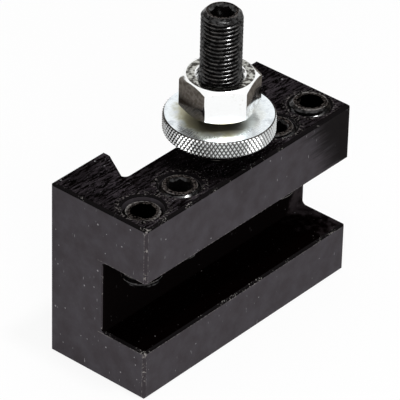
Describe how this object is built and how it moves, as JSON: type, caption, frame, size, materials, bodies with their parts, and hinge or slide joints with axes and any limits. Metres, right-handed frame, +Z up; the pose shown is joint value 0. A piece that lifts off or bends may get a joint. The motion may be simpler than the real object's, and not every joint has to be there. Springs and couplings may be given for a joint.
{
  "type": "turning tool holder",
  "caption": "Black steel lathe tool holder block with a dovetail back, a tool slot, socket clamp screws and a stud with knurled and hex height nuts.",
  "frame": {"origin": "centre of the block's bottom face", "axes": "+X along the tool slot, +Y from the slot towards the dovetail and the tool post, +Z up along the stud and the clamp screws"},
  "size_m": [0.074, 0.0333, 0.0864],
  "materials": {
    "block": "black oxide on ground and milled steel, satin",
    "black_fasteners": "black oxide, oily",
    "bright_nuts": "bright zinc plate on turned steel"
  },
  "bodies": {
    "holder": {"holder_block": "block", "height_stud": "black_fasteners"},
    "height_nut": {"knurled_nut": "bright_nuts"},
    "locknut": {"hex_locknut": "bright_nuts"},
    "screw_1": {"clamp_screw_1": "black_fasteners"},
    "screw_2": {"clamp_screw_2": "black_fasteners"},
    "screw_3": {"clamp_screw_3": "black_fasteners"},
    "screw_4": {"clamp_screw_4": "black_fasteners"}
  },
  "joints": [
    {"name": "height_nut_travel", "type": "slide", "parent": "holder", "child": "height_nut", "axis": [0, 0, 1], "range_m": [-0.006, 0.009]},
    {"name": "locknut_travel", "type": "slide", "parent": "height_nut", "child": "locknut", "axis": [0, 0, 1], "range_m": [-0.0018, 0.009]},
    {"name": "screw_1_travel", "type": "slide", "parent": "holder", "child": "screw_1", "axis": [0, 0, 1], "range_m": [-0.0064, 0.0046]},
    {"name": "screw_2_travel", "type": "slide", "parent": "holder", "child": "screw_2", "axis": [0, 0, 1], "range_m": [-0.0075, 0]},
    {"name": "screw_3_travel", "type": "slide", "parent": "holder", "child": "screw_3", "axis": [0, 0, 1], "range_m": [-0.0075, 0]},
    {"name": "screw_4_travel", "type": "slide", "parent": "holder", "child": "screw_4", "axis": [0, 0, 1], "range_m": [-0.0085, 0.0025]}
  ]
}
